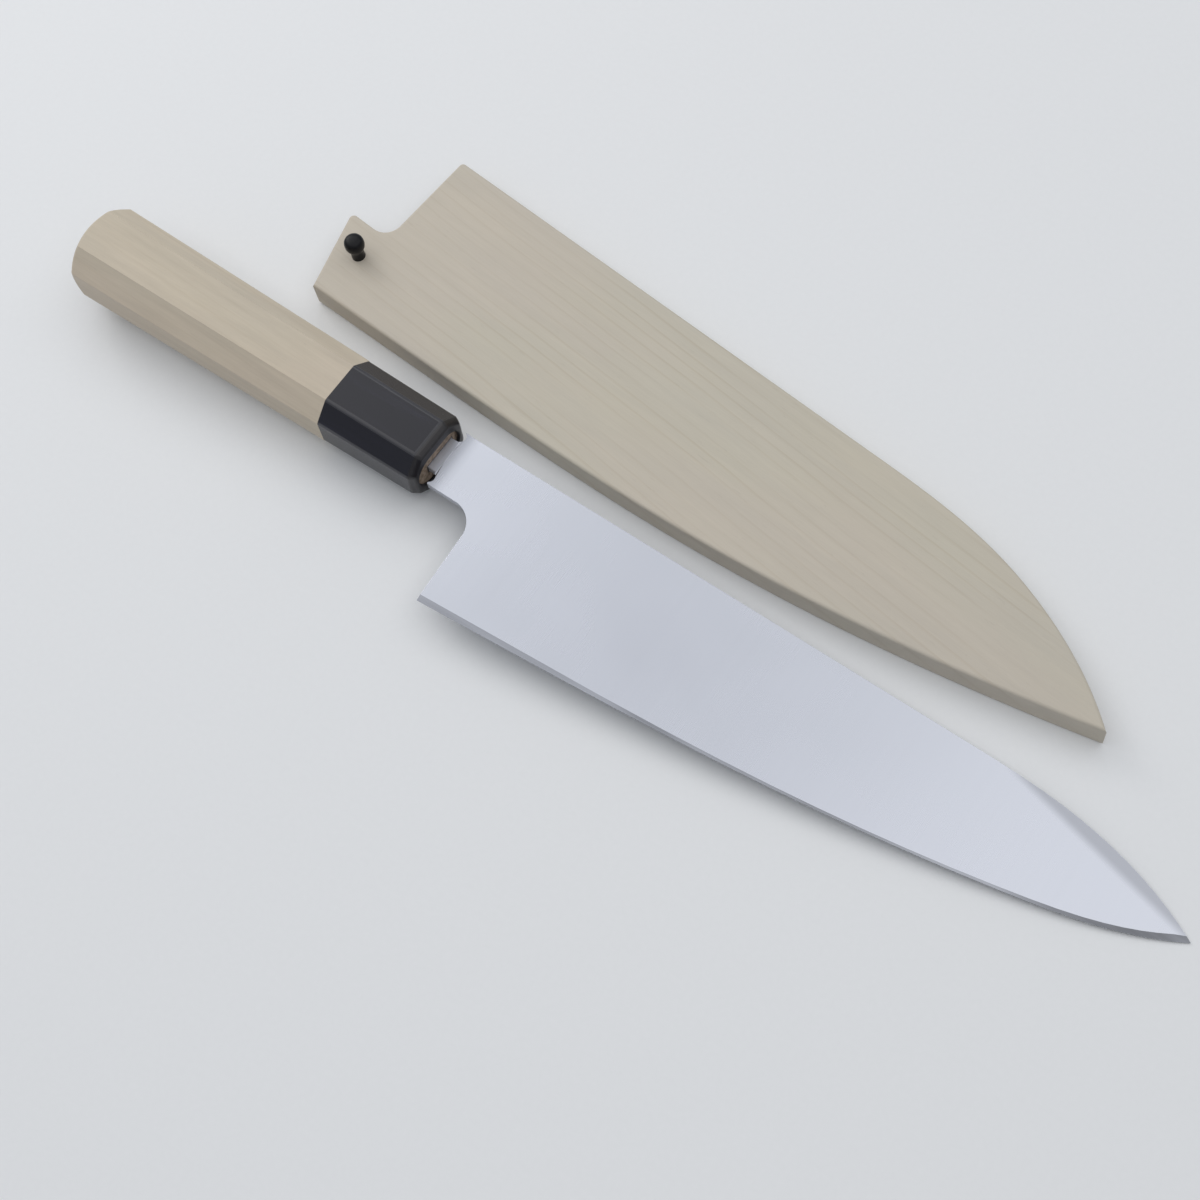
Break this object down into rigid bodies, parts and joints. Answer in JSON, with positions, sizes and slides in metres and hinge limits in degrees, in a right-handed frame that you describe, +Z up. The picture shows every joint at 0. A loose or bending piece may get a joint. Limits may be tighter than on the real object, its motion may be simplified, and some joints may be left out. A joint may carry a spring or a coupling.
{
  "type": "chef knife",
  "caption": "Japanese-style chef knife with an octagonal wooden handle and black horn ferrule, lying beside its fitted wooden sheath locked by a peg.",
  "frame": {"origin": "on the table under the middle of the layout's bounding box", "axes": "+X from the handle's butt to the blade's tip; +Y from the knife's edge to its spine, towards the sheath; +Z up from the table"},
  "size_m": [0.3776, 0.126, 0.0279],
  "materials": {
    "steel": "satin, ground across the blade",
    "ho_wood": "bare, sanded",
    "horn": "polished black horn",
    "resin": "set tar resin",
    "saya_wood": "bare, sanded",
    "pin": "polished black"
  },
  "bodies": {
    "knife": {"blade": "steel", "grip": "ho_wood", "ferrule": "horn", "tang_resin": "resin"},
    "saya": {"saya_lower": "saya_wood", "saya_upper": "saya_wood"},
    "pin": {"saya_pin": "pin"}
  },
  "joints": [
    {"name": "saya_draw", "type": "slide", "parent": "knife", "child": "saya", "axis": [0.9932, -0.1167, 0], "range_m": [-0.235, 0]},
    {"name": "pin_pull", "type": "slide", "parent": "saya", "child": "pin", "axis": [0, 0, 1], "range_m": [0, 0.014]}
  ]
}
